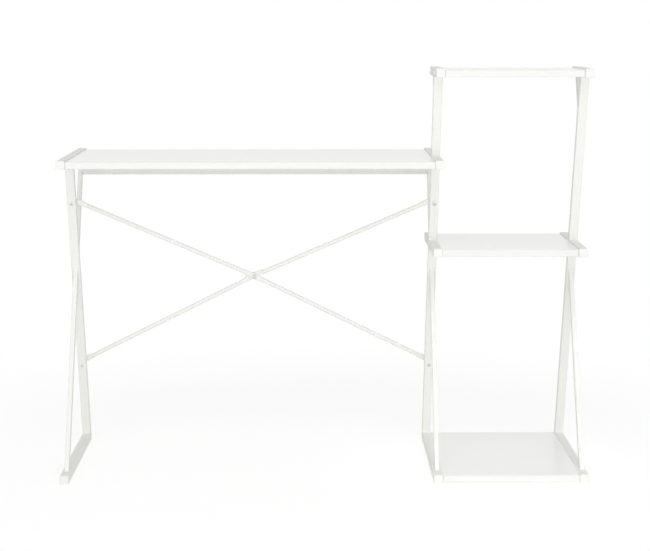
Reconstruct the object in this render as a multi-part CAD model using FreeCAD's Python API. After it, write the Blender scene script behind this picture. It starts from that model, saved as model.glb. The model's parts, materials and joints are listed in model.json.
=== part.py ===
import FreeCAD, Part
import math
import os
from collections import namedtuple

Vector = FreeCAD.Vector

# Computer desk with a shelf unit on its right, standing on Z = 0.
# X runs along the desk, Y from front to rear, Z up. Lengths are in millimetres.

# Overall sizes
overall_width = 1210.0
overall_height = 947.0
foot_length = 450.0
shelf_width = 315.0

# How far the rails of the top shelf are above those of the desk
top_shelf_rise = 207.0

# Share of the way up from the crossing of the legs to the desk rail at which the shelf rail lies
shelf_rail_share = 0.2

# Square tube of the feet, rails and main legs
tube = 20.0
tube_wall = 1.2
tube_corner = 2.0

# Slim tube of the cross legs and struts, narrow across the frame and deep along it
slim_width = 10.0
slim_depth = 20.0
slim_wall = 1.0
slim_chamfer = 1.0

# Rails, front to rear, set back from the ends of the feet
desk_rail_rear_setback = 30.0
shelf_rail_setback = 60.0
top_rail_length = 212.0

# Where the legs meet the feet and rails
main_leg_top_setback = 72.0
cross_leg_foot_setback = 44.0
cross_leg_rail_inset = 19.0
strut_rail_inset = 20.0

# Boards, a little lower than the rails that carry them
board_thickness = 16.0
board_recess = 3.0
board_setback = 5.0
board_edge_chamfer = 0.8

# Board screws, each through a rail into the board's end
desk_screw_inset = 60.0
shelf_screw_inset = 45.0
top_screw_inset = 35.0
foot_screw_inset = 60.0
screw_reach = 30.0
screw_end_gap = 2.0

# Plastic plugs in the open tube ends
plug_head = 2.0
plug_depth = 12.0
plug_wall = 1.5
plug_corner = 1.2
plug_chamfer = 0.8
plug_clearance = 0.2

# Brace rods, bolted to the rear of the main legs and to each other
rod_diameter = 10.0
rod_flat_width = 13.0
rod_flat_thickness = 5.0
rod_flat_margin = 4.5
rod_taper = 12.0
rod_tab_show = 12.0
brace_lower_inset = 210.0
brace_upper_inset = 95.0
brace_centre_rise = 16.0
washer_diameter = 13.0
washer_thickness = 1.4

# Crossbar under the rear of the desk board, its front wall lapping the cross legs
crossbar_drop = 28.0
crossbar_height = 20.0
crossbar_depth = 20.0
crossbar_wall = 1.6
crossbar_end_gap = 0.5
ear_corner = 3.0

# Fasteners
bolt_diameter = 6.0
bolt_head_diameter = 10.5
bolt_head_height = 3.3
small_bolt_diameter = 4.0
small_head_diameter = 7.6
small_head_height = 2.2
head_bevel_share = 0.6
nut_width = 10.0
nut_height = 5.0
small_nut_width = 7.0
small_nut_height = 3.2
hole_clearance = 0.3
thread_clearance = 0.1
nut_end_gap = 1.5

# Sides of the small round shapes that repeat: fasteners and their holes
fastener_sides = 12

# How far a cutting shape runs past what it cuts
overrun = 5.0

# Share of its length by which an edge may stray from a direction and still be along it
parallel_share = 0.001

# Levels and places that follow from the sizes above
front = -foot_length / 2
rear = foot_length / 2
foot_top = tube
top_rail_bottom = overall_height - tube
desk_rail_bottom = top_rail_bottom - top_shelf_rise
desk_rail_rear = rear - desk_rail_rear_setback
shelf_rail_front = front + shelf_rail_setback
shelf_rail_rear = rear - shelf_rail_setback
top_rail_rear = front + top_rail_length
left_x = -overall_width / 2 + tube / 2
right_x = overall_width / 2 - tube / 2
centre_x = right_x - tube - shelf_width
board_rise = tube - board_recess - board_thickness / 2
rod_tab_reach = tube / 2 + rod_tab_show
bolt_hole = bolt_diameter + hole_clearance * 2
small_bolt_hole = small_bolt_diameter + hole_clearance * 2

Bolt = namedtuple("Bolt", "diameter head_diameter head_height")
large_bolt = Bolt(bolt_diameter, bolt_head_diameter, bolt_head_height)
small_bolt = Bolt(small_bolt_diameter, small_head_diameter, small_head_height)


# Lines in the side view, each a point and a direction

def leaning(y, z, lean):
    """Line through (y, z) that goes back by the angle lean as it rises."""
    return Vector(0, y, z), Vector(0, math.sin(lean), math.cos(lean))


def upright(y):
    return leaning(y, 0, 0)


def level(z):
    return Vector(0, 0, z), Vector(0, 1, 0)


def normal(line):
    """Direction square to a line: to the rear of an upright one, down from a level one."""
    return Vector(0, line[1].z, -line[1].y)


def moved(line, distance):
    return line[0] + normal(line) * distance, line[1]


def carried(line, direction, distance):
    return line[0] + direction * distance, line[1]


def meet(first, second):
    """Point where two lines cross."""
    across = normal(second)
    travel = (second[0] - first[0]).dot(across) / first[1].dot(across)
    return first[0] + first[1] * travel


def lean_between(run, rise, depth):
    """Lean of a bar of a depth that touches two corners, run and rise apart, with opposite faces."""
    return math.acos(depth / math.hypot(run, rise)) - math.atan2(rise, run)


# Main leg: rear face to the foot's rear corner, front face to the top rail. It leans forward.
main_lean = lean_between(foot_length - main_leg_top_setback, top_rail_bottom - foot_top, tube)
main_rear_face = leaning(rear, foot_top, -main_lean)
main_axis = moved(main_rear_face, -tube / 2)
main_front_face = moved(main_rear_face, -tube)

# Cross leg: front face near the foot's front, rear face near the desk rail's rear. It leans back.
cross_foot_y = front + cross_leg_foot_setback
cross_rail_y = desk_rail_rear - cross_leg_rail_inset
cross_lean = lean_between(cross_rail_y - cross_foot_y, desk_rail_bottom - foot_top, slim_depth)
cross_front_face = leaning(cross_foot_y, foot_top, cross_lean)
cross_axis = moved(cross_front_face, slim_depth / 2)

# Strut: parallel to the cross leg, from the main leg to the top rail's rear
strut_axis = moved(leaning(top_rail_rear - strut_rail_inset, top_rail_bottom, cross_lean), -slim_depth / 2)

# Shelf rail: a little above the crossing of the legs
crossing_height = meet(main_axis, cross_axis).z
shelf_rail_bottom = crossing_height + (desk_rail_bottom - crossing_height) * shelf_rail_share
shelf_rail_top = shelf_rail_bottom + tube

# Feet and rails: their ends, their height and how far their board screws are from the ends
Level = namedtuple("Level", "front rear bottom screw_inset")
foot_level = Level(front, rear, 0, foot_screw_inset)
shelf_level = Level(shelf_rail_front, shelf_rail_rear, shelf_rail_bottom, shelf_screw_inset)
desk_level = Level(front, desk_rail_rear, desk_rail_bottom, desk_screw_inset)
top_level = Level(front, top_rail_rear, top_rail_bottom, top_screw_inset)


# Basic shapes

def prism(start_x, width, corners):
    """Outline in the side view, drawn out along X from start_x."""
    points = [Vector(start_x, corner.y, corner.z) for corner in corners]
    return Part.Face(Part.makePolygon(points + points[:1])).extrude(Vector(width, 0, 0))


def edges_along(solid, direction):
    """Edges of a solid that run along a direction."""
    edges = []
    for edge in solid.Edges:
        run = edge.Vertexes[1].Point - edge.Vertexes[0].Point
        if run.cross(direction).Length < run.Length * parallel_share:
            edges.append(edge)
    return edges


def rounded_along(solid, direction, radius):
    """Solid with its edges along a direction rounded."""
    return solid.makeFillet(radius, edges_along(solid, direction))


def chamfered_along(solid, direction, size):
    """Solid with its edges along a direction chamfered."""
    return solid.makeChamfer(size, edges_along(solid, direction))


def quad(axis, reach, start, end):
    """Corners of a bar reaching to both sides of its axis and cut off by two lines."""
    ahead = moved(axis, -reach)
    behind = moved(axis, reach)
    return [meet(ahead, start), meet(behind, start), meet(behind, end), meet(ahead, end)]


# Tube sections, each with the way its corners are shaped
Section = namedtuple("Section", "width depth wall corner shaped_along")
square_section = Section(tube, tube, tube_wall, tube_corner, rounded_along)
slim_section = Section(slim_width, slim_depth, slim_wall, slim_chamfer, chamfered_along)


def hollow_bar(x, axis, section, start, end):
    """Tube centred on x with its axis in the side view, cut off by two lines."""
    along = axis[1]
    outline = quad(axis, section.depth / 2, start, end)
    outer = prism(x - section.width / 2, section.width, outline)
    outer = section.shaped_along(outer, along, section.corner)
    past_start = carried(start, along, -overrun)
    past_end = carried(end, along, overrun)
    bore_outline = quad(axis, section.depth / 2 - section.wall, past_start, past_end)
    bore_width = section.width - section.wall * 2
    return outer.cut(prism(x - bore_width / 2, bore_width, bore_outline))


def placed(shape, point, direction):
    """Copy of a shape with its Z axis turned to a direction and its origin moved to a point."""
    copy = shape.copy()
    copy.Placement = FreeCAD.Placement(point, FreeCAD.Rotation(Vector(0, 0, 1), direction))
    return copy


# Many-sided shapes, made on the Z axis

def polygon(radius, sides, z):
    """Closed outline with its corners on a circle."""
    turns = [math.tau / sides * index for index in range(sides)]
    points = [Vector(radius * math.cos(turn), radius * math.sin(turn), z) for turn in turns]
    return Part.makePolygon(points + points[:1])


def hexagon(width, base, height):
    """Six-sided prism with a width across its flats."""
    radius = width / 2 / math.cos(math.pi / 6)
    return Part.Face(polygon(radius, 6, base)).extrude(Vector(0, 0, height))


def drum(diameter, base, height):
    """Prism with a fastener's number of sides and its corners on the diameter."""
    return Part.Face(polygon(diameter / 2, fastener_sides, base)).extrude(Vector(0, 0, height))


def bore(diameter, base, height):
    """Cutter like a drum, but with its flats on the diameter, so that a drum fits inside."""
    return drum(diameter / math.cos(math.pi / fastener_sides), base, height)


def hole_through(point, direction, diameter, depth):
    """Cutter for a hole that starts before point and ends past the depth."""
    return placed(bore(diameter, -overrun, depth + overrun * 2), point, direction)


# Fasteners, made on the Z axis with the seat at zero

def button_bolt(bolt, length):
    """Bevelled head above the seat, plain shank below."""
    head = drum(bolt.head_diameter, 0, bolt.head_height)
    rim = [edge for edge in head.Edges if edge.BoundBox.ZMin > bolt.head_height / 2]
    head = head.makeChamfer(bolt.head_height * head_bevel_share, rim)
    return head.fuse(drum(bolt.diameter, -length, length)).removeSplitter()


def hex_nut(width, height, bolt):
    thread = bore(bolt.diameter + thread_clearance * 2, -overrun, height + overrun * 2)
    return hexagon(width, 0, height).cut(thread)


def washer():
    ring = drum(washer_diameter, 0, washer_thickness)
    return ring.cut(bore(bolt_hole, -overrun, washer_thickness + overrun * 2))


# Tube ends

def end_plug():
    """Square plug with its head above zero and a hollow skirt below."""
    head = Part.makeBox(tube, tube, plug_head, Vector(-tube / 2, -tube / 2, 0))
    head = chamfered_along(head, Vector(0, 0, 1), plug_corner)
    rim = [edge for edge in head.Edges if edge.BoundBox.ZMin > plug_head / 2]
    head = head.makeChamfer(plug_chamfer, rim)
    skirt = tube - (tube_wall + plug_clearance) * 2
    opening = skirt - plug_wall * 2
    body = Part.makeBox(skirt, skirt, plug_depth, Vector(-skirt / 2, -skirt / 2, -plug_depth))
    hollow = Part.makeBox(opening, opening, plug_depth, Vector(-opening / 2, -opening / 2, -plug_depth))
    return head.fuse(body.cut(hollow)).removeSplitter()


def end_plugs():
    """Plugs in both ends of every foot and rail."""
    plug = end_plug()
    ends = [(left_x, desk_level), (left_x, foot_level)]
    ends += [(centre_x, each) for each in (desk_level, shelf_level, top_level, foot_level)]
    ends += [(right_x, each) for each in (shelf_level, top_level, foot_level)]
    plugs = []
    for x, each in ends:
        middle = each.bottom + tube / 2
        plugs.append(placed(plug, Vector(x, each.front + plug_head, middle), Vector(0, -1, 0)))
        plugs.append(placed(plug, Vector(x, each.rear - plug_head, middle), Vector(0, 1, 0)))
    return Part.makeCompound(plugs)


# Frames

def screw_places(each):
    """Y and Z of the two screws that hold a board to a rail of this level."""
    height = each.bottom + board_rise
    return [(each.front + each.screw_inset, height), (each.rear - each.screw_inset, height)]


def drilled(solid, x, each):
    """Rail or foot with the clearance holes of its board screws."""
    for y, z in screw_places(each):
        start = Vector(x - tube / 2, y, z)
        solid = solid.cut(hole_through(start, Vector(1, 0, 0), bolt_hole, tube))
    return solid


def rail(x, each, start=None, end=None):
    """Level tube between its plugs, or from or to a leg's face."""
    axis = level(each.bottom + tube / 2)
    start = start or upright(each.front + plug_head)
    end = end or upright(each.rear - plug_head)
    return hollow_bar(x, axis, square_section, start, end)


def board_rail(x, each, start=None, end=None):
    return drilled(rail(x, each, start, end), x, each)


def split_rail(x, each):
    """Front and rear lengths of a rail that the main leg passes through."""
    return board_rail(x, each, end=main_front_face), board_rail(x, each, start=main_rear_face)


def main_leg(x, top):
    return hollow_bar(x, main_axis, square_section, level(foot_top), level(top))


def slim_bar(x, axis, start, end):
    return hollow_bar(x, axis, slim_section, start, end)


def left_frame():
    foot = rail(left_x, foot_level)
    leg = drilled_for_brace(main_leg(left_x, desk_rail_bottom), left_x)
    lower = slim_bar(left_x, cross_axis, level(foot_top), main_front_face)
    upper = slim_bar(left_x, cross_axis, main_rear_face, level(desk_rail_bottom))
    return {
        "left_foot": foot,
        "left_main_leg": leg,
        "left_cross_leg_lower": lower,
        "left_cross_leg_upper": drilled_for_crossbar(upper, left_x),
        "left_desk_rail": board_rail(left_x, desk_level),
    }


def tall_frame(side, x):
    """Tubes that the centre and right frames share."""
    shelf_front_rail, shelf_rear_rail = split_rail(x, shelf_level)
    return {
        side + "_foot": board_rail(x, foot_level),
        side + "_main_leg": main_leg(x, top_rail_bottom),
        side + "_cross_leg_lower": slim_bar(x, cross_axis, level(foot_top), main_front_face),
        side + "_cross_leg_stub": slim_bar(x, cross_axis, main_rear_face, level(shelf_rail_bottom)),
        side + "_shelf_rail_front": shelf_front_rail,
        side + "_shelf_rail_rear": shelf_rear_rail,
        side + "_top_rail": board_rail(x, top_level),
        side + "_top_strut": slim_bar(x, strut_axis, main_rear_face, level(top_rail_bottom)),
    }


def centre_frame():
    pieces = tall_frame("centre", centre_x)
    desk_front_rail, desk_rear_rail = split_rail(centre_x, desk_level)
    upper = slim_bar(centre_x, cross_axis, level(shelf_rail_top), level(desk_rail_bottom))
    pieces["centre_main_leg"] = drilled_for_brace(pieces["centre_main_leg"], centre_x)
    pieces["centre_cross_leg_upper"] = drilled_for_crossbar(upper, centre_x)
    pieces["centre_desk_rail_front"] = desk_front_rail
    pieces["centre_desk_rail_rear"] = desk_rear_rail
    return pieces


# Boards and their screws

def board(start_x, end_x, each):
    """Board between two rails, bored at its ends for the screws."""
    depth = each.rear - each.front - board_setback * 2
    corner = Vector(start_x, each.front + board_setback, each.bottom + board_rise - board_thickness / 2)
    solid = Part.makeBox(end_x - start_x, depth, board_thickness, corner)
    solid = chamfered_along(solid, Vector(1, 0, 0), board_edge_chamfer)
    thread = bore(bolt_diameter + thread_clearance * 2, -overrun, screw_reach + overrun)
    for y, z in screw_places(each):
        for x, inward in ((start_x, 1), (end_x, -1)):
            solid = solid.cut(placed(thread, Vector(x, y, z), Vector(inward, 0, 0)))
    return solid


def board_screws(left, right, each):
    """Screws at both ends of a board between the rails at left and right."""
    screw = button_bolt(large_bolt, tube + screw_reach - screw_end_gap)
    screws = []
    for y, z in screw_places(each):
        for x, outward in ((left, -1), (right, 1)):
            direction = Vector(outward, 0, 0)
            screws.append(placed(screw, Vector(x, y, z) + direction * (tube / 2), direction))
    return screws


def boards():
    """The four boards with all their screws."""
    plan = {
        "desk_board": (left_x, centre_x, desk_level),
        "top_shelf_board": (centre_x, right_x, top_level),
        "middle_shelf_board": (centre_x, right_x, shelf_level),
        "bottom_shelf_board": (centre_x, right_x, foot_level),
    }
    pieces = {}
    screws = []
    for name, (left, right, each) in plan.items():
        pieces[name] = board(left + tube / 2, right - tube / 2, each)
        screws += board_screws(left, right, each)
    pieces["board_screws"] = Part.makeCompound(screws)
    return pieces


# Brace, drawn flat with X along the desk, Y up the main legs and Z to the front, and then
# turned to lie against the rear faces of the main legs

brace_place = FreeCAD.Placement(
    Vector(0, rear, foot_top), FreeCAD.Rotation(Vector(1, 0, 0), 90 + math.degrees(main_lean))
)
brace_top = (desk_rail_bottom - foot_top) / math.cos(main_lean) - brace_upper_inset
brace_middle = Vector((left_x + centre_x) / 2, (brace_lower_inset + brace_top) / 2 + brace_centre_rise, 0)
brace_ends = [Vector(x, y, 0) for x in (left_x, centre_x) for y in (brace_lower_inset, brace_top)]
lower_left, upper_left, lower_right, upper_right = brace_ends
rod_axis_z = -rod_flat_thickness / 2

# The flattened middles reach past the rods' crossing, however sharp it is
crossing_angle = (upper_left - brace_middle).getAngle(lower_left - brace_middle)
rod_flat_reach = rod_flat_width / 2 / math.tan(crossing_angle / 2) + rod_flat_margin


def in_brace(shape):
    """Shape drawn flat, turned to its place in the brace."""
    shape.Placement = brace_place.multiply(shape.Placement)
    return shape


def drilled_for_brace(leg, x):
    """Main leg with the two clearance holes of the brace bolts."""
    for end in brace_ends:
        if end.x == x:
            leg = leg.cut(in_brace(hole_through(end, Vector(0, 0, 1), bolt_hole, tube)))
    return leg


def round_section(x):
    """Rod's circle in four arcs, square to X."""
    radius = rod_diameter / 2
    turns = [math.pi / 4 * index for index in range(1, 10)]
    points = [Vector(x, radius * math.cos(t), radius * math.sin(t) + rod_axis_z) for t in turns]
    arcs = [Part.Arc(*points[start:start + 3]).toShape() for start in (0, 2, 4, 6)]
    return Part.Wire(arcs)


def flat_section(x, middle_z):
    """Rectangle of a flattened length, square to X."""
    side = rod_flat_width / 2
    face = rod_flat_thickness / 2
    corners = [(side, face), (-side, face), (-side, -face), (side, -face), (side, face)]
    return Part.makePolygon([Vector(x, y, z + middle_z) for y, z in corners])


def flat_disc(x, middle_z):
    """Rounded end of a flattened length."""
    base = Vector(x, 0, middle_z - rod_flat_thickness / 2)
    return Part.makeCylinder(rod_flat_width / 2, rod_flat_thickness, base)


def rod_half(end, middle_z):
    """Half of a rod from the middle of the brace to one end, flattened at both."""
    run = end - brace_middle
    length = run.Length
    marks = [
        flat_section(0, middle_z),
        flat_section(rod_flat_reach, middle_z),
        round_section(rod_flat_reach + rod_taper),
        round_section(length - rod_tab_reach - rod_taper),
        flat_section(length - rod_tab_reach, rod_axis_z),
        flat_section(length, rod_axis_z),
    ]
    lengths = [Part.makeLoft(list(pair), True, True) for pair in zip(marks, marks[1:])]
    half = flat_disc(0, middle_z).multiFuse(lengths + [flat_disc(length, rod_axis_z)])
    turn = FreeCAD.Rotation(Vector(0, 0, 1), math.degrees(math.atan2(run.y, run.x)))
    half.Placement = FreeCAD.Placement(brace_middle, turn)
    return half


def brace_rod(ends, middle_z):
    """Whole rod between two main legs, drilled for its three bolts."""
    halves = [rod_half(end, middle_z) for end in ends]
    rod = halves[0].fuse(halves[1]).removeSplitter()
    for point in ends + [brace_middle]:
        start = point - Vector(0, 0, rod_diameter)
        rod = rod.cut(hole_through(start, Vector(0, 0, 1), bolt_hole, rod_diameter * 2))
    return in_brace(rod)


def brace():
    ahead = Vector(0, 0, 1)
    flat = rod_flat_thickness
    end_bolt = button_bolt(large_bolt, tube + flat + nut_height + nut_end_gap)
    centre_bolt = button_bolt(large_bolt, (flat + washer_thickness) * 2 + nut_height + nut_end_gap)
    nut = hex_nut(nut_width, nut_height, large_bolt)
    centre_front = brace_middle + ahead * (rod_axis_z + flat)
    centre_rear = brace_middle + ahead * (rod_axis_z - flat)
    washer_seat = centre_front + ahead * washer_thickness
    nut_seat = centre_rear - ahead * washer_thickness
    end_bolts = [in_brace(placed(end_bolt, end + ahead * tube, ahead)) for end in brace_ends]
    end_nuts = [in_brace(placed(nut, end - ahead * flat, -ahead)) for end in brace_ends]
    washers = [placed(washer(), centre_front, ahead), placed(washer(), centre_rear, -ahead)]
    return {
        "brace_rod_front": brace_rod([upper_left, lower_right], rod_axis_z + flat / 2),
        "brace_rod_rear": brace_rod([lower_left, upper_right], rod_axis_z - flat / 2),
        "brace_end_bolts": Part.makeCompound(end_bolts),
        "brace_end_nuts": Part.makeCompound(end_nuts),
        "brace_centre_bolt": in_brace(placed(centre_bolt, washer_seat, ahead)),
        "brace_centre_washers": Part.makeCompound([in_brace(each) for each in washers]),
        "brace_centre_nut": in_brace(placed(nut, nut_seat, -ahead)),
    }


# Crossbar, square to the cross legs

cross_up = cross_front_face[1]
cross_ahead = -normal(cross_front_face)
crossbar_seat = meet(cross_front_face, level(desk_rail_bottom)) - cross_up * crossbar_drop


def crossbar_outline(lowest, highest, nearest, farthest):
    """Corners of a part of the bar's section, up the cross leg and ahead of its front face."""
    places = [(lowest, nearest), (highest, nearest), (highest, farthest), (lowest, farthest)]
    return [crossbar_seat + cross_up * up + cross_ahead * ahead for up, ahead in places]


def drilled_for_crossbar(leg, x):
    """Cross leg with the clearance hole of the crossbar's bolt."""
    seat = Vector(x, crossbar_seat.y, crossbar_seat.z)
    return leg.cut(hole_through(seat, -cross_ahead, small_bolt_hole, slim_depth))


def crossbar():
    half = crossbar_height / 2
    wall = crossbar_wall
    start = left_x + slim_width / 2 + crossbar_end_gap
    end = centre_x - slim_width / 2 - crossbar_end_gap
    outer = crossbar_outline(-half, half, wall, wall - crossbar_depth)
    hollow = crossbar_outline(wall - half, half - wall, 0, wall * 2 - crossbar_depth)
    bar = prism(start, end - start, outer)
    bar = bar.cut(prism(start - overrun, end - start + overrun * 2, hollow))
    ear_start = left_x - slim_width / 2
    ear_length = centre_x + slim_width / 2 - ear_start
    plate = prism(ear_start, ear_length, crossbar_outline(-half, half, wall, 0))
    bar = bar.fuse(rounded_along(plate, cross_ahead, ear_corner)).removeSplitter()
    bolt = button_bolt(small_bolt, wall + slim_depth + small_nut_height + nut_end_gap)
    nut = hex_nut(small_nut_width, small_nut_height, small_bolt)
    bolts = []
    nuts = []
    for x in (left_x, centre_x):
        seat = Vector(x, crossbar_seat.y, crossbar_seat.z)
        bar = bar.cut(hole_through(seat, cross_ahead, small_bolt_hole, wall))
        bolts.append(placed(bolt, seat + cross_ahead * wall, cross_ahead))
        nuts.append(placed(nut, seat - cross_ahead * slim_depth, -cross_ahead))
    return {
        "rear_crossbar": bar,
        "crossbar_bolts": Part.makeCompound(bolts),
        "crossbar_nuts": Part.makeCompound(nuts),
    }


def desk():
    """Every piece of the desk by name."""
    pieces = left_frame()
    pieces.update(centre_frame())
    pieces.update(tall_frame("right", right_x))
    pieces.update(boards())
    pieces.update(brace())
    pieces.update(crossbar())
    pieces["tube_end_plugs"] = end_plugs()
    return pieces


os.makedirs("parts", exist_ok=True)
for name, shape in desk().items():
    shape.exportStep("parts/" + name + ".step")
    print(name, len(shape.Solids), "solids", round(shape.Volume), "mm3", shape.isValid())
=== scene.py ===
import json
import math

import bpy
import numpy as np
from mathutils import Euler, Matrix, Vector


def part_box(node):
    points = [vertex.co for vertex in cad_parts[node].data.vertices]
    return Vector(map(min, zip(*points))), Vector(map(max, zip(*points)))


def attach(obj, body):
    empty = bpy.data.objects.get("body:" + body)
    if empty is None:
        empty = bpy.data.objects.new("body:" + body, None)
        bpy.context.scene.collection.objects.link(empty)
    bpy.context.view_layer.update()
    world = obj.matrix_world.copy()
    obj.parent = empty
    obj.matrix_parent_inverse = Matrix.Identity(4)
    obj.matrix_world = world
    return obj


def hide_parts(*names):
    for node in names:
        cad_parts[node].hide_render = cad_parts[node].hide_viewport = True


# White computer desk: looks for the welded frames, the boards, the rod brace and their fixings.
# Everything is in metres in the frame of the CAD part: X along the desk, Y to the rear, Z up.

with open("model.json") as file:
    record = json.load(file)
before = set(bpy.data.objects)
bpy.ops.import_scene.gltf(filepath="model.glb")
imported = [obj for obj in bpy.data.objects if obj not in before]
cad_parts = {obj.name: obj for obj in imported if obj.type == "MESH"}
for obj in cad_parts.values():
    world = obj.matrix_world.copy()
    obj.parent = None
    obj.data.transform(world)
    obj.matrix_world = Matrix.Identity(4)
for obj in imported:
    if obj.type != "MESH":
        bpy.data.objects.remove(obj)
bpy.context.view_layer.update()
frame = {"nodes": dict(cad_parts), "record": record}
nodes = frame["nodes"]
scene = bpy.context.scene
print("frame loaded with", len(nodes), "nodes")


# Places, read from the CAD solids

tubeHalf = 0.010
slimHalf = 0.005
stepsPerMetre = 1e6  # corners of a solid are matched to the micrometre
headMargin = 0.0005  # points this far outside a shank or a skirt belong to the head


def leanOf(name, depth):
    # lean of a bar cut level at both ends: the angle whose cosine is its depth over the diagonal of its box,
    # less the slope of that diagonal
    low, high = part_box(name)
    run, rise = high.y - low.y, high.z - low.z
    return math.acos(depth / math.hypot(run, rise)) - math.atan2(rise, run)


def solidsOf(name):
    # points of each solid in a node: corners that share a triangle take the lowest label among them,
    # again and again until no label changes
    mesh = nodes[name].data
    points = np.empty(len(mesh.vertices) * 3, np.float32)
    mesh.vertices.foreach_get("co", points)
    corners = np.empty(len(mesh.loops), np.int32)
    mesh.loops.foreach_get("vertex_index", corners)
    rounded = np.round(points.reshape(-1, 3) * stepsPerMetre).astype(np.int64)
    keys, same = np.unique(rounded, axis=0, return_inverse=True)
    triangles = same.reshape(-1)[corners].reshape(-1, 3)
    label = np.arange(len(keys))
    while True:
        lowest = label.copy()
        shared = label[triangles].min(axis=1, keepdims=True).repeat(3, axis=1)
        np.minimum.at(lowest, triangles, shared)
        if (lowest == label).all():
            return [keys[label == each] / stepsPerMetre for each in np.unique(label)]
        label = lowest


def seatOf(points, axis, headHeight):
    # where a fastener's axis leaves its seat: the middle of its points, moved to headHeight below their highest
    axis = np.array(axis)
    across = points - np.outer(points @ axis, axis)
    middle = (across.min(axis=0) + across.max(axis=0)) / 2
    middle = middle - axis * (middle @ axis)
    return middle + axis * ((points @ axis).max() - headHeight)


mainLean = leanOf("right_main_leg", 2 * tubeHalf)
crossLean = leanOf("centre_cross_leg_upper", 2 * tubeHalf)
mainUp = np.array((0, -math.sin(mainLean), math.cos(mainLean)))
mainFront = np.array((0, -math.cos(mainLean), -math.sin(mainLean)))
crossUp = np.array((0, math.sin(crossLean), math.cos(crossLean)))
crossFront = np.array((0, -math.cos(crossLean), math.sin(crossLean)))


# Mesh tools

smoothAngle = 38  # faces that meet at a larger angle keep a crisp edge
uprightShare = 0.9  # an axis that rises more than this counts as upright


def turned(axis):
    # two directions square to an axis: its product with Z, or with X when it is upright,
    # and its product with that one
    axis = np.array(axis, float)
    first = np.cross(axis, (0, 0, 1) if abs(axis[2]) < uprightShare else (1, 0, 0))
    first = first / np.linalg.norm(first)
    return first, np.cross(axis, first)


def fullTurn(count):
    # angles of that many points around a circle
    return np.arange(count) * 2 * np.pi / count


def roundedRings(halfWide, halfTall, corner, perCorner):
    # rectangles with round corners: each corner's centre plus its radius through a quarter turn
    quarter = np.repeat(np.arange(4) * np.pi / 2, perCorner)
    turn = quarter + np.tile(np.linspace(0, np.pi / 2, perCorner), 4)
    wide = np.sign(np.cos(quarter + np.pi / 4)) * (halfWide - corner) + corner * np.cos(turn)
    tall = np.sign(np.sin(quarter + np.pi / 4)) * (halfTall - corner) + corner * np.sin(turn)
    return wide, tall


def ringFaces(rows, count, loop):
    # corner numbers of the squares between neighbouring points of a grid that is closed around
    row = np.arange(rows if loop else rows - 1)[:, None]
    column = np.arange(count)[None, :]
    after, beside = (row + 1) % rows, (column + 1) % count
    square = [row * count + column, row * count + beside, after * count + beside, after * count + column]
    return np.stack(np.broadcast_arrays(*square), axis=-1).reshape(-1, 4)


def fanFaces(rows, count):
    # triangles from the first and the last ring to a pole each, numbered after the rings
    column = np.arange(count)
    beside = (column + 1) % count
    last = (rows - 1) * count
    pole = np.full(count, rows * count)
    first = np.stack([beside, column, pole], axis=-1)
    return np.concatenate([first, np.stack([last + column, last + beside, pole + 1], axis=-1)])


def volumeOf(points, faces):
    # six times the signed volume inside flat faces, summed over fans from each face's first corner
    a, b, c = points[faces[:, 0]], points[faces[:, 1]], points[faces[:, 2]]
    total = np.einsum("ij,ij->", a, np.cross(b, c))
    if faces.shape[1] == 4:
        total += np.einsum("ij,ij->", a, np.cross(c, points[faces[:, 3]]))
    return total


def makePiece(name, grids, loop=False, sharpAngle=smoothAngle, deepRings=0):
    # one mesh from many grids of rings, each closed around, with a pole at both ends or run into itself; the last
    # rings of a socket are marked as deep, for the shader's painted shade in the socket
    grids = np.asarray(grids, float)
    copies, rows, count = grids.shape[:3]
    quads = ringFaces(rows, count, loop)
    fans = np.empty((0, 3), int) if loop else fanFaces(rows, count)
    points = grids.reshape(copies, -1, 3)
    if not loop:
        poles = np.stack([grids[:, 0].mean(axis=1), grids[:, -1].mean(axis=1)], axis=1)
        points = np.concatenate([points, poles], axis=1)
    if volumeOf(points[0], quads) + volumeOf(points[0], fans) < 0:
        quads, fans = quads[:, ::-1], fans[:, ::-1]
    step = np.arange(copies)[:, None, None] * points.shape[1]
    faces = (quads + step).reshape(-1, 4).tolist() + (fans + step).reshape(-1, 3).tolist()
    mesh = bpy.data.meshes.new(name)
    mesh.from_pydata(points.reshape(-1, 3).tolist(), [], faces)
    mesh.polygons.foreach_set("use_smooth", np.ones(len(faces), bool))
    mesh.set_sharp_from_angle(angle=math.radians(sharpAngle))
    if deepRings:
        deep = np.concatenate([np.repeat(np.arange(rows) >= rows - deepRings, count), [False, True]])
        socketShade = mesh.attributes.new("socketShade", "FLOAT", "POINT")
        socketShade.data.foreach_set("value", np.tile(deep, copies).astype(np.float32))
    piece = bpy.data.objects.new(name, mesh)
    scene.collection.objects.link(piece)
    print("made", name, "with", len(faces), "faces")
    return piece


def fitted(piece, material, slot, *replaced):
    # a finished piece with its material and the nodes that it stands for, riding on the one body; its slot is not
    # used
    piece.data.materials.append(material)
    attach(piece, "root")
    if replaced:
        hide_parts(*replaced)


# Shared shader effects

coatInputs = ("Wave Scale", "Cloud Scale", "Tone Spread", "Base Roughness", "Roughness Spread")
coatOutputs = ("Height", "Tone", "Roughness")
coatNoise = {
    "waves": (2.0, 0.5), "clouds": (4.0, 0.6),  # detail and roughness
    "middle": 0.5, "fineShare": 0.12,
}


def mathNode(tree, operation, first, second=0.0):
    # one step of arithmetic between numbers or sockets
    node = tree.nodes.new("ShaderNodeMath")
    node.operation = operation
    for socket, value in zip(node.inputs, (first, second)):
        if isinstance(value, (int, float)):
            socket.default_value = value
        else:
            tree.links.new(value, socket)
    return node.outputs[0]


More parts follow.
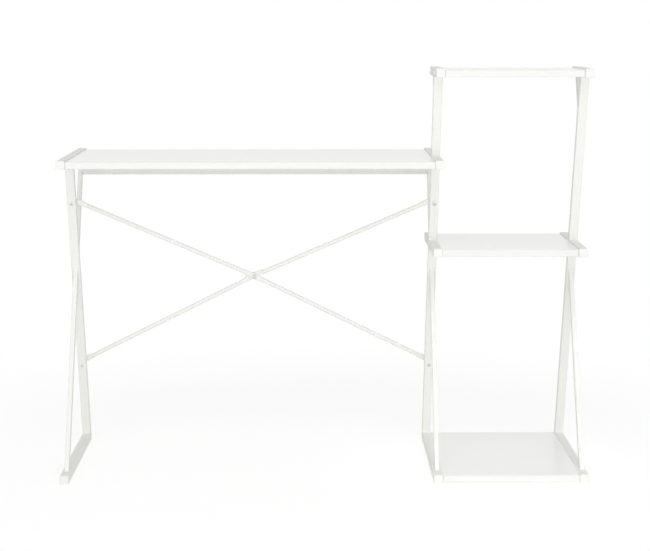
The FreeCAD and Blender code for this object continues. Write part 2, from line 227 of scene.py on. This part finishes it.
def noiseNode(tree, scale, detail, roughness):
    # noise about nought, read at the piece's own coordinates, with the plain noise beside it
    coords = tree.nodes.new("ShaderNodeTexCoord")
    noise = tree.nodes.new("ShaderNodeTexNoise")
    noise.inputs["Detail"].default_value = detail
    noise.inputs["Roughness"].default_value = roughness
    tree.links.new(coords.outputs["Object"], noise.inputs["Vector"])
    tree.links.new(scale, noise.inputs["Scale"])
    plain = noise.outputs["Fac"]
    return mathNode(tree, "SUBTRACT", plain, coatNoise["middle"]), plain


def makeCoatGroup():
    # skin of a coat: small waves are the height, one plus broad clouds and a share of the waves is the tone,
    # and the base plus the clouds is the roughness
    group = bpy.data.node_groups.new("coatSkin", "ShaderNodeTree")
    for way, labels in (("INPUT", coatInputs), ("OUTPUT", coatOutputs)):
        for label in labels:
            group.interface.new_socket(label, in_out=way, socket_type="NodeSocketFloat")
    given = group.nodes.new("NodeGroupInput").outputs
    result = group.nodes.new("NodeGroupOutput").inputs
    waves, height = noiseNode(group, given["Wave Scale"], *coatNoise["waves"])
    clouds, _ = noiseNode(group, given["Cloud Scale"], *coatNoise["clouds"])
    tone = mathNode(group, "MULTIPLY", clouds, given["Tone Spread"])
    fine = mathNode(group, "MULTIPLY", waves, coatNoise["fineShare"])
    gloss = mathNode(group, "MULTIPLY", clouds, given["Roughness Spread"])
    group.links.new(height, result["Height"])
    group.links.new(mathNode(group, "ADD", mathNode(group, "ADD", tone, fine), 1.0), result["Tone"])
    group.links.new(mathNode(group, "ADD", gloss, given["Base Roughness"]), result["Roughness"])
    return group


coatGroup = makeCoatGroup()


def lessShare(tree, tone, share):
    # the tone times one less the share
    return mathNode(tree, "MULTIPLY", tone, mathNode(tree, "SUBTRACT", 1.0, share))


def socketShadeTone(tree, tone, amount):
    # painted shade in a socket: its deep rings take that share off the tone
    deep = tree.nodes.new("ShaderNodeAttribute")
    deep.attribute_name = "socketShade"
    return lessShare(tree, tone, mathNode(tree, "MULTIPLY", deep.outputs["Fac"], amount))


def stripTone(tree, tone, strip):
    # edge strips of a board: faces that look along Y take one share off the tone, their eased edges another, and
    # both take a third within a narrow width of the ends: a painted shade of the gap where the board meets its
    # rail
    geometry = tree.nodes.new("ShaderNodeNewGeometry")
    coords = tree.nodes.new("ShaderNodeTexCoord")
    normal = tree.nodes.new("ShaderNodeSeparateXYZ")
    place = tree.nodes.new("ShaderNodeSeparateXYZ")
    tree.links.new(geometry.outputs["True Normal"], normal.inputs[0])
    tree.links.new(coords.outputs["Object"], place.inputs[0])
    along = mathNode(tree, "ABSOLUTE", normal.outputs["Y"])
    upward = mathNode(tree, "ABSOLUTE", normal.outputs["Z"])
    both = mathNode(tree, "MINIMUM", along, upward)
    gaps = [mathNode(tree, "ABSOLUTE", mathNode(tree, "SUBTRACT", place.outputs["X"], end))
            for end in strip["ends"]]
    nearest = gaps[0]
    for gap in gaps[1:]:
        nearest = mathNode(tree, "MINIMUM", nearest, gap)
    front = mathNode(tree, "GREATER_THAN", along, strip["leaning"])
    near = mathNode(tree, "MULTIPLY", mathNode(tree, "LESS_THAN", nearest, strip["gapShadeWidth"]), front)
    taken = 0.0
    for where, share in (
        (mathNode(tree, "GREATER_THAN", along, strip["facing"]), strip["flatShare"]),
        (mathNode(tree, "GREATER_THAN", both, strip["leaning"]), strip["seamShare"]),
        (near, strip["gapShadeShare"]),
    ):
        taken = mathNode(tree, "ADD", mathNode(tree, "MULTIPLY", where, share), taken)
    return lessShare(tree, tone, taken)


plainFinish = {"Metallic": 0.0, "Specular IOR Level": 0.5, "Coat Weight": 0.0, "Coat Roughness": 0.22}


def coatMaterial(name, look):
    # even colour times the group's tone, with its gloss and a bump from its waves
    material = bpy.data.materials.new(name)
    material.use_nodes = True
    tree = material.node_tree
    shader = tree.nodes["Principled BSDF"]
    coat = tree.nodes.new("ShaderNodeGroup")
    coat.node_tree = coatGroup
    for label in coatInputs:
        coat.inputs[label].default_value = look[label]
    tint = tree.nodes.new("ShaderNodeVectorMath")
    tint.operation = "SCALE"
    tint.inputs[0].default_value = look["colour"]
    bump = tree.nodes.new("ShaderNodeBump")
    bump.inputs["Strength"].default_value = look["bump"]
    bump.inputs["Distance"].default_value = look["bumpDepth"]
    tone = coat.outputs["Tone"]
    if "socketShade" in look:
        tone = socketShadeTone(tree, tone, look["socketShade"])
    if "strip" in look:
        tone = stripTone(tree, tone, look["strip"])
    tree.links.new(tone, tint.inputs["Scale"])
    tree.links.new(tint.outputs[0], shader.inputs["Base Color"])
    tree.links.new(coat.outputs["Roughness"], shader.inputs["Roughness"])
    tree.links.new(coat.outputs["Height"], bump.inputs["Height"])
    tree.links.new(bump.outputs["Normal"], shader.inputs["Normal"])
    for label, value in plainFinish.items():
        shader.inputs[label].default_value = look.get(label, value)
    return material


boards = ("desk_board", "top_shelf_board", "middle_shelf_board", "bottom_shelf_board")
stripLook = {
    # the third share is painted shade of the gap at the board ends
    "flatShare": 0.075, "seamShare": 0.1, "gapShadeShare": 0.22, "gapShadeWidth": 0.0016,
    "facing": 0.95, "leaning": 0.25,  # how far a flat strip and an eased edge look along Y, at least
    "ends": sorted({round(corner.x, 6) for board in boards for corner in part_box(board)}),
}
paintLook = {
    "colour": (0.912, 0.92, 0.88), "Wave Scale": 520.0, "Cloud Scale": 9.0, "Tone Spread": 0.04,
    "Base Roughness": 0.46, "Roughness Spread": 0.14, "bump": 0.3, "bumpDepth": 0.0004,
    "Specular IOR Level": 0.3,
}
laminateLook = {
    "colour": (0.92, 0.92, 0.9), "Wave Scale": 900.0, "Cloud Scale": 5.0, "Tone Spread": 0.025,
    "Base Roughness": 0.33, "Roughness Spread": 0.1, "bump": 0.2, "bumpDepth": 0.0002,
    "Coat Weight": 0.9, "strip": stripLook,
}
plugLook = {
    "colour": (0.874, 0.882, 0.842), "Wave Scale": 1800.0, "Cloud Scale": 20.0, "Tone Spread": 0.02,
    "Base Roughness": 0.5, "Roughness Spread": 0.06, "bump": 0.1, "bumpDepth": 0.0002,
}
zincLook = {
    "colour": (0.9, 0.9, 0.885), "Wave Scale": 2600.0, "Cloud Scale": 90.0, "Tone Spread": 0.12,
    "Base Roughness": 0.4, "Roughness Spread": 0.2, "bump": 0.04, "bumpDepth": 0.0001,
    # the socket's share is painted shade in its hollow
    "Metallic": 1.0, "socketShade": 0.2,
}
framePaint = coatMaterial("framePaint", paintLook)
boardLaminate = coatMaterial("boardLaminate", laminateLook)
plugPlastic = coatMaterial("plugPlastic", plugLook)
zincSteel = coatMaterial("zincSteel", zincLook)
slotMaterials = {
    "frame_paint": framePaint, "board_laminate": boardLaminate,
    "plug_plastic": plugPlastic, "zinc_steel": zincSteel,
}
for part in frame["record"]["subparts"]:
    mesh = nodes[part["node"]].data
    mesh.materials.clear()
    mesh.materials.append(slotMaterials[part["material_slot"]])
print("materials set on", len(nodes), "nodes")


# Plugs in the tube ends

plugSize = {
    "half": 0.010, "corner": 0.0022, "head": 0.0020, "edgeRound": 0.0009,
    "crown": 0.0003, "crownShares": (0.8, 0.05), "crownCorner": 0.6,
    "skirtHalf": 0.0086, "skirtCorner": 0.001, "skirtDepth": 0.012,
    "perCorner": 7, "edgeSteps": 6, "faceSteps": 5,
}


def plugProfile(size):
    # half width, corner and height of each ring: the skirt, an upright rim, a quarter round,
    # and a crown that falls with the square of the way out from the middle
    half, corner, edge = size["half"], size["corner"], size["edgeRound"]
    skirt, skirtCorner = size["skirtHalf"], size["skirtCorner"]
    turn = np.linspace(0, np.pi / 2, size["edgeSteps"])
    share = np.linspace(*size["crownShares"], size["faceSteps"])
    inset = edge * (1 - np.cos(turn))
    rimTop = size["head"] - size["crown"] - edge
    halves = [[skirt, skirt, half], half - inset, (half - edge) * share]
    corners = [[skirtCorner, skirtCorner, corner], corner - inset, corner * share * size["crownCorner"]]
    heights = [[-size["skirtDepth"], 0, 0], rimTop + edge * np.sin(turn),
               size["head"] - size["crown"] * share ** 2]
    return [np.concatenate(each)[:, None] for each in (halves, corners, heights)]


def makePlugs():
    # each plug's seat is a head's height inside the outer end of its solid
    half, corner, height = plugProfile(plugSize)
    across, upward = roundedRings(half, half, corner, plugSize["perCorner"])
    grids = []
    for points in solidsOf("tube_end_plugs"):
        low, high = points.min(axis=0), points.max(axis=0)
        middle = (low + high) / 2
        wide = np.abs(points[:, 0] - middle[0]) > plugSize["skirtHalf"] + headMargin
        outward = np.sign(points[wide, 1].mean() - middle[1])
        seat = (high[1] if outward > 0 else low[1]) - outward * plugSize["head"]
        depth = np.broadcast_to(seat + outward * height, across.shape)
        grids.append(np.stack([middle[0] + across * outward, depth, middle[2] + upward], axis=-1))
    fitted(makePiece("endPlugs", grids), plugPlastic, "plug_plastic", "tube_end_plugs")


makePlugs()


# Screws, bolts, nuts and washers

largeBolt = {
    "shank": 0.003, "radius": 0.00525, "height": 0.0033, "rim": 0.0007, "crown": 0.0029,
    "socket": 0.0020, "socketDepth": 0.0019, "pitch": 0.001, "threaded": 0.008,
}
smallBolt = {
    "shank": 0.002, "radius": 0.0038, "height": 0.0022, "rim": 0.0005, "crown": 0.0020,
    "socket": 0.00125, "socketDepth": 0.0013, "pitch": 0.0007, "threaded": 0.0056,
}
boltShape = {
    "threadRows": 49, "threadDepth": 0.3, "endChamfer": 0.0006, "runOut": 0.0005, "domeSteps": 7,
    "lipShare": 1.06, "lipDepth": 0.0002, "floorShare": 0.1, "floorCone": 0.0004, "deepRings": 3,
}
largeNut = {"flat": 0.005, "height": 0.005, "bore": 0.0031}
smallNut = {"flat": 0.0035, "height": 0.0032, "bore": 0.0021}
nutShape = {"rows": (0, 0.06, 0.12, 0.5, 0.88, 0.94, 1.0), "coneStart": 1.02, "coneSlope": 1.9}
washerSize = {"radius": 0.0065, "bore": 0.0033, "thick": 0.0014, "edge": 0.0003}
aroundCount = 48
around = fullTurn(aroundCount)


def hexReach(flat):
    # distance from the middle of a hexagon to its side, by angle
    return flat / np.cos(np.mod(around, np.pi / 3) - np.pi / 6)


def placedRings(radius, height, seat, axis):
    # rings of those radii and heights about an axis that starts at the seat
    first, second = turned(axis)
    circle = np.cos(around)[:, None] * first + np.sin(around)[:, None] * second
    return seat + radius[..., None] * circle + height[..., None] * np.array(axis)


def boltRings(bolt, length):
    # from its end: a chamfered thread whose radius falls and rises once per pitch along a helix, a plain shank,
    # a button head with an upright rim and an arc up to the crown, a six-sided socket with a coned floor
    shape = boltShape
    shank, top = bolt["shank"], bolt["height"]
    end = np.linspace(0, bolt["threaded"], shape["threadRows"])[:, None]
    wave = (1 + np.cos(2 * np.pi * end / bolt["pitch"] - around)) / 2
    thread = np.minimum(shank - shape["threadDepth"] * bolt["pitch"] * wave, shank - shape["endChamfer"] + end)
    turn = np.linspace(0, np.pi / 2, shape["domeSteps"])
    dome = bolt["crown"] + (bolt["radius"] - bolt["crown"]) * np.cos(turn)
    domeHeight = bolt["rim"] + (top - bolt["rim"]) * np.sin(turn)
    circles = np.concatenate([[shank, shank, bolt["radius"]], dome])[:, None] * np.ones(aroundCount)
    hexagon = hexReach(bolt["socket"])
    socket = [hexagon * shape["lipShare"], hexagon, hexagon, hexagon * shape["floorShare"]]
    floor = top - bolt["socketDepth"]
    height = np.concatenate([
        end[:, 0] - length, [bolt["threaded"] + shape["runOut"] - length, 0, 0], domeHeight,
        [top, top - shape["lipDepth"], floor, floor - shape["floorCone"]],
    ])
    radius = np.concatenate([thread, circles, socket])
    return radius, np.broadcast_to(height[:, None], radius.shape)


def placedBolt(bolt, points, axis):
    # the bolt is as long as its solid, less the head
    length = np.ptp(points @ np.array(axis)) - bolt["height"]
    return placedRings(*boltRings(bolt, length), seatOf(points, axis, bolt["height"]), axis)


def nutRings(nut):
    # hexagon whose corners a cone cuts off at both faces, run back into itself through its bore
    height = np.array(nutShape["rows"]) * nut["height"]
    edge = np.minimum(height, nut["height"] - height)[:, None]
    cone = nut["flat"] * nutShape["coneStart"] + edge * nutShape["coneSlope"]
    bore = np.full((1, aroundCount), nut["bore"])
    radius = np.concatenate([bore, np.minimum(hexReach(nut["flat"]), cone), bore])
    height = np.concatenate([[0], height, [nut["height"]]])
    return radius, np.broadcast_to(height[:, None], radius.shape)


def washerRings(size):
    # flat ring with its outer edge eased, run back into itself through its bore
    edge, top, wide, bore = size["edge"], size["thick"], size["radius"], size["bore"]
    radius = np.array([bore, wide - edge, wide, wide, wide - edge, bore])
    height = np.array([0, 0, edge, top - edge, top, top])
    return radius[:, None] * np.ones(aroundCount), height[:, None] * np.ones(aroundCount)


def outwardX(points):
    # direction of a screw along X: its head is the wide end
    middle = (points.min(axis=0) + points.max(axis=0)) / 2
    wide = np.abs(points[:, 2] - middle[2]) > largeBolt["shank"] + headMargin
    return np.array((np.sign(points[wide, 0].mean() - middle[0]), 0, 0))


def makeFasteners():
    # every fastener stands in the seat of its own solid
    deep = boltShape["deepRings"]
    screws = [placedBolt(largeBolt, points, outwardX(points)) for points in solidsOf("board_screws")]
    fitted(makePiece("boardScrews", screws, deepRings=deep), zincSteel, "zinc_steel", "board_screws")
    for name, node, bolt, axis in (
        ("braceEndBolts", "brace_end_bolts", largeBolt, mainFront),
        ("braceCentreBolt", "brace_centre_bolt", largeBolt, mainFront),
        ("crossbarBolts", "crossbar_bolts", smallBolt, crossFront),
    ):
        bolts = [placedBolt(bolt, points, axis) for points in solidsOf(node)]
        fitted(makePiece(name, bolts, deepRings=deep), zincSteel, "zinc_steel", node)
    for name, node, rings, height, axis in (
        ("braceEndNuts", "brace_end_nuts", nutRings(largeNut), largeNut["height"], -mainFront),
        ("braceCentreNut", "brace_centre_nut", nutRings(largeNut), largeNut["height"], -mainFront),
        ("crossbarNuts", "crossbar_nuts", nutRings(smallNut), smallNut["height"], -crossFront),
        ("braceWashers", "brace_centre_washers", washerRings(washerSize), washerSize["thick"], mainFront),
    ):
        grids = [placedRings(*rings, seatOf(points, axis, height), axis) for points in solidsOf(node)]
        fitted(makePiece(name, grids, loop=True), zincSteel, "zinc_steel", node)


makeFasteners()


# Brace rods

rodSize = {
    "radius": 0.005, "flatHalf": 0.0065, "flatThick": 0.005, "flatMargin": 0.0045, "flatPower": 5.0,
    "taper": 0.014, "tabReach": 0.022, "endShare": 0.97,
    "around": 32, "steps": (4, 14, 12, 14, 4), "endSteps": 10,
}


def bracePoints():
    # bolt points in the plane of the rods: each seat moved back through the leg and half a flat
    back = 2 * tubeHalf + rodSize["flatThick"] / 2
    ends = np.array([seatOf(points, mainFront, largeBolt["height"]) for points in solidsOf("brace_end_bolts")])
    ends = ends - mainFront * back
    middle = seatOf(solidsOf("brace_centre_bolt")[0], mainFront, largeBolt["height"])
    middle = middle + mainFront * ((ends[0] - middle) @ mainFront)
    left, right = ends[ends[:, 0] < middle[0]], ends[ends[:, 0] > middle[0]]
    return left[left[:, 2].argsort()], right[right[:, 2].argsort()], middle


def eased(share):
    # three squares less two cubes of a share held between nought and one
    share = np.clip(share, 0, 1)
    return share ** 2 * (3 - 2 * share)


def signedPower(value, power):
    # power of the size of a value, with its sign
    return np.sign(value) * np.abs(value) ** power


def rodHalf(middle, end, flatReach, side, turnedOver):
    # superellipse carried from the middle to the end: its half sizes and power ease between round and flat,
    # and past the bolt its half width follows a half circle
    size = rodSize
    length = np.linalg.norm(end - middle)
    along = (end - middle) / length
    tab = length - size["tabReach"]
    stops = [0, flatReach, flatReach + size["taper"], tab - size["taper"], tab, length]
    runs = [np.linspace(*each, endpoint=False) for each in zip(stops, stops[1:], size["steps"])]
    past = size["flatHalf"] * np.sin(np.linspace(0, size["endShare"] * np.pi / 2, size["endSteps"]))
    place = np.concatenate(runs + [length + past])
    crank = 1 - eased((place - flatReach) / size["taper"])
    flat = np.maximum(crank, 1 - eased((tab - place) / size["taper"]))
    beyond = np.clip(place - length, 0, None)
    halfWide = size["radius"] + (size["flatHalf"] - size["radius"]) * flat
    halfWide = halfWide * np.sqrt(1 - (beyond / size["flatHalf"]) ** 2)
    halfThick = size["radius"] + (size["flatThick"] / 2 - size["radius"]) * flat
    power = 2 / (2 + (size["flatPower"] - 2) * flat)[:, None]
    turn = fullTurn(size["around"])
    wide = halfWide[:, None] * signedPower(np.cos(turn), power)
    thick = halfThick[:, None] * signedPower(np.sin(turn), power)
    thick = thick + (side * size["flatThick"] / 2 * crank)[:, None]
    across = np.cross(mainFront, along) * (-1 if turnedOver else 1)
    line = middle + place[:, None] * along
    return line[:, None, :] + wide[..., None] * across + thick[..., None] * mainFront


def makeRods():
    # the middle flat reaches past the other rod: its half width over the tangent of half the angle between them
    left, right, middle = bracePoints()
    lower, upper = left - middle
    angle = math.acos(lower @ upper / np.linalg.norm(lower) / np.linalg.norm(upper))
    flatReach = rodSize["flatHalf"] / math.tan(angle / 2) + rodSize["flatMargin"]
    for name, node, start, end, side in (
        ("braceRodFront", "brace_rod_front", left[1], right[0], 1),
        ("braceRodRear", "brace_rod_rear", left[0], right[1], -1),
    ):
        first = rodHalf(middle, start, flatReach, side, True)
        second = rodHalf(middle, end, flatReach, side, False)
        rings = np.concatenate([first[:0:-1], (first[:1] + second[:1]) / 2, second[1:]])
        fitted(makePiece(name, [rings]), framePaint, "frame_paint", node)


makeRods()


# Weld beads

beadSize = {
    "radius": 0.0014, "ripple": 0.12, "pitch": 0.0016, "around": 10, "sharpAngle": 80,
    "corner": 0.0012, "perCorner": 5, "loopSteps": 120,
    "lineHalf": 0.0085, "lineSteps": 44, "endShare": 0.995, "endPower": 8,
}


def meetLevel(point, along, level):
    # where a sloping line reaches a height
    return point + along * ((level - point[2]) / along[2])


def meetFace(point, along, facePoint, faceNormal):
    # where a sloping line reaches a sloping face
    return point + along * (np.dot(facePoint - point, faceNormal) / np.dot(along, faceNormal))


def loopBead(x, front, rear):
    # bead around the cut end of a slim bar: a rippled circle carried round a rectangle with round corners
    size = beadSize
    halfLong = np.linalg.norm(rear - front) / 2
    axes = np.stack([(1.0, 0, 0), (rear - front) / (2 * halfLong)])
    corners = np.stack(roundedRings(slimHalf, halfLong, size["corner"], size["perCorner"]), axis=-1)
    closed = np.concatenate([corners, corners[:1]])
    run = np.concatenate([[0], np.cumsum(np.linalg.norm(np.diff(closed, axis=0), axis=1))])
    steps = np.linspace(0, run[-1], size["loopSteps"], endpoint=False)
    path = np.stack([np.interp(steps, run, closed[:, 0]), np.interp(steps, run, closed[:, 1])], axis=-1)
    tangent = np.roll(path, -1, axis=0) - np.roll(path, 1, axis=0)
    tangent = tangent / np.linalg.norm(tangent, axis=1, keepdims=True)
    outward = np.stack([tangent[:, 1], -tangent[:, 0]], axis=-1) @ axes
    ripples = np.round(run[-1] / size["pitch"])
    radius = size["radius"] * (1 + size["ripple"] * np.cos(2 * np.pi * ripples * steps / run[-1]))
    ring = fullTurn(size["around"])[:, None]
    circle = np.cos(ring) * outward[:, None, :] + np.sin(ring) * np.cross(*axes)
    middle = (front + rear) / 2
    centre = np.array((x, middle[1], middle[2])) + path @ axes
    return centre[:, None, :] + radius[:, None, None] * circle


def lineBead(x, y, z):
    # bead across a square tube: a rippled circle along X that closes at both ends
    size = beadSize
    share = np.linspace(-size["endShare"], size["endShare"], size["lineSteps"])[:, None]
    ripple = np.cos(2 * np.pi * share * size["lineHalf"] / size["pitch"])
    radius = size["radius"] * np.sqrt(1 - share ** size["endPower"]) * (1 + size["ripple"] * ripple)
    ring = fullTurn(size["around"])
    places = x + share * size["lineHalf"]
    bead = [places, y + radius * np.cos(ring), z + radius * np.sin(ring)]
    return np.stack(np.broadcast_arrays(*bead), axis=-1)


def makeBeads():
    # loops where slim bars meet feet, rails and main legs, lines where main legs meet feet and rails
    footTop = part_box("left_foot")[1].z
    deskLow, deskHigh = [corner.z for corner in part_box("left_desk_rail")]
    shelfLow, shelfHigh = [corner.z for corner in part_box("right_shelf_rail_front")]
    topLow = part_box("right_top_rail")[0].z
    low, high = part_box("right_main_leg")
    mainRearPoint = np.array((0, high.y, low.z))
    mainFrontPoint = mainRearPoint + mainFront * 2 * tubeHalf
    mainPoints = (mainFrontPoint, mainRearPoint)
    crossFrontPoint = np.array((0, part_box("right_cross_leg_lower")[0].y, footTop))
    crossLines = (crossFrontPoint, crossFrontPoint - crossFront * 2 * tubeHalf)
    strutRearPoint = np.array((0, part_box("right_top_strut")[1].y, topLow))
    strutLines = (strutRearPoint + crossFront * 2 * tubeHalf, strutRearPoint)
    loops, lines = [], []
    for prefix, crossLevels, mainLevels, hasStrut in (
        ("left", (footTop, deskLow), (deskLow,), False),
        ("centre", (footTop, shelfLow, shelfHigh, deskLow),
         (shelfLow, shelfHigh, deskLow, deskHigh, topLow), True),
        ("right", (footTop, shelfLow), (shelfLow, shelfHigh, topLow), True),
    ):
        x = sum(corner.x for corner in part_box(prefix + "_foot")) / 2
        ends = [[meetLevel(point, crossUp, level) for point in crossLines] for level in crossLevels]
        ends += [[meetFace(point, crossUp, face, mainFront) for point in crossLines] for face in mainPoints]
        if hasStrut:
            ends.append([meetLevel(point, crossUp, topLow) for point in strutLines])
            ends.append([meetFace(point, crossUp, mainRearPoint, mainFront) for point in strutLines])
        loops += [loopBead(x, *each) for each in ends]
        seams = [meetLevel(point, mainUp, level) for level in mainLevels for point in mainPoints]
        seams.append(meetLevel(mainFrontPoint, mainUp, footTop))
        lines += [lineBead(x, *each[1:]) for each in seams]
    sharp = beadSize["sharpAngle"]
    fitted(makePiece("loopWeldBeads", loops, loop=True, sharpAngle=sharp), framePaint, "frame_paint")
    fitted(makePiece("lineWeldBeads", lines, sharpAngle=sharp), framePaint, "frame_paint")


makeBeads()


# Floor, light and camera

studio = {
    "ambient": 0.58,
    "floorReach": 30.0, "floorGrey": 0.93, "floorRoughness": 0.9, "floorSpecular": 0.1,
    "floorFade": (0.65, 1.7, 0.4, 0.0),  # near and far reach of the shadow, and the shaded share at each
    "floorLevel": 0.755,  # light on the floor, which the glow makes up to white
}
lamps = {  # place, aim, width and height, power, spread in degrees
    "frontBox": ((0.1, -4.8, 0.67), (0.0, 0.0, 0.4), (3.6, 1.3), 69.0, 180.0),
    "highBox": ((0.0, -3.2, 2.9), (0.0, 0.0, 0.4), (3.6, 2.4), 28.0, 180.0),
    "shelfBox": ((0.6, -2.2, 2.6), (0.43, -0.1, 0.05), (0.25, 0.25), 0.13, 16.0),
}
view = {
    "place": (-0.04289, -4.30187, 1.05592), "pitch": 5.173, "yaw": 0.607,
    "lens": 100.734, "sensor": 36.0, "shiftY": -0.14, "clipEnd": 200.0,
}


def seenDirectly(tree):
    # one where the camera, a mirror or a glass looks, else nought
    path = tree.nodes.new("ShaderNodeLightPath")
    seen = mathNode(tree, "MAXIMUM", path.outputs["Is Camera Ray"], path.outputs["Is Glossy Ray"])
    return mathNode(tree, "MAXIMUM", seen, path.outputs["Is Transmission Ray"])


def floorMaterial():
    # pale to the rest of the scene; to the eye a shaded share that keeps the shadow, filled up to white by a glow
    material = bpy.data.materials.new("floorWhite")
    material.use_nodes = True
    tree = material.node_tree
    pale = tree.nodes["Principled BSDF"]
    pale.inputs["Base Color"].default_value = (studio["floorGrey"],) * 3 + (1,)
    pale.inputs["Roughness"].default_value = studio["floorRoughness"]
    pale.inputs["Specular IOR Level"].default_value = studio["floorSpecular"]
    coords = tree.nodes.new("ShaderNodeTexCoord")
    far = tree.nodes.new("ShaderNodeVectorMath")
    far.operation = "LENGTH"
    fade = tree.nodes.new("ShaderNodeMapRange")
    fade.interpolation_type = "SMOOTHSTEP"
    for label, value in zip(("From Min", "From Max", "To Min", "To Max"), studio["floorFade"]):
        fade.inputs[label].default_value = value
    tree.links.new(coords.outputs["Object"], far.inputs[0])
    tree.links.new(far.outputs["Value"], fade.inputs["Value"])
    shaded = tree.nodes.new("ShaderNodeBsdfDiffuse")
    tree.links.new(fade.outputs["Result"], shaded.inputs["Color"])
    glow = tree.nodes.new("ShaderNodeEmission")
    level = mathNode(tree, "MULTIPLY", fade.outputs["Result"], studio["floorLevel"])
    tree.links.new(mathNode(tree, "SUBTRACT", 1.0, level), glow.inputs["Strength"])
    white = tree.nodes.new("ShaderNodeAddShader")
    tree.links.new(shaded.outputs[0], white.inputs[0])
    tree.links.new(glow.outputs[0], white.inputs[1])
    mix = tree.nodes.new("ShaderNodeMixShader")
    tree.links.new(seenDirectly(tree), mix.inputs[0])
    tree.links.new(pale.outputs[0], mix.inputs[1])
    tree.links.new(white.outputs[0], mix.inputs[2])
    tree.links.new(mix.outputs[0], tree.nodes["Material Output"].inputs["Surface"])
    return material


def makeFloor(reach):
    # one square on the ground, as far as the reach each way
    mesh = bpy.data.meshes.new("studioFloor")
    corners = [(-reach, -reach, 0), (reach, -reach, 0), (reach, reach, 0), (-reach, reach, 0)]
    mesh.from_pydata(corners, [], [(0, 1, 2, 3)])
    mesh.materials.append(floorMaterial())
    floor = bpy.data.objects.new("studioFloor", mesh)
    scene.collection.objects.link(floor)


def makeWorld(ambient):
    # white where the camera or a mirror looks at it, and an even grey light elsewhere
    world = bpy.data.worlds.new("studioWorld")
    world.use_nodes = True
    scene.world = world
    tree = world.node_tree
    back = tree.nodes["Background"]
    back.inputs["Color"].default_value = (1, 1, 1, 1)
    extra = mathNode(tree, "MULTIPLY", seenDirectly(tree), 1 - ambient)
    tree.links.new(mathNode(tree, "ADD", extra, ambient), back.inputs["Strength"])


def makeLamp(name, place, aim, size, power, spread):
    # a lamp shines down its own Z: pitched by its aim's angle from straight down, then turned towards the aim
    lamp = bpy.data.lights.new(name, "AREA")
    lamp.shape = "RECTANGLE"
    lamp.size, lamp.size_y = size
    lamp.energy = power
    lamp.spread = math.radians(spread)
    holder = bpy.data.objects.new(name, lamp)
    holder.location = place
    toward = np.array(aim) - np.array(place)
    pitch = math.atan2(math.hypot(toward[0], toward[1]), -toward[2])
    holder.rotation_euler = Euler((pitch, 0, math.atan2(-toward[0], toward[1])))
    holder.visible_glossy = False  # flat faces mirror the even white studio instead
    scene.collection.objects.link(holder)


def makeCamera():
    # upright and level, then pitched down and turned right
    camera = bpy.data.objects.new("deskCamera", bpy.data.cameras.new("deskCamera"))
    camera.data.lens = view["lens"]
    camera.data.sensor_width = view["sensor"]
    camera.data.shift_y = view["shiftY"]
    camera.data.clip_end = view["clipEnd"]
    camera.location = view["place"]
    camera.rotation_euler = Euler((math.radians(90 - view["pitch"]), 0, math.radians(-view["yaw"])))
    scene.collection.objects.link(camera)
    scene.camera = camera


makeFloor(studio["floorReach"])
makeWorld(studio["ambient"])
for name, values in lamps.items():
    makeLamp(name, *values)
makeCamera()
scene.view_settings.view_transform = "Standard"
print("floor, lamps and camera set")
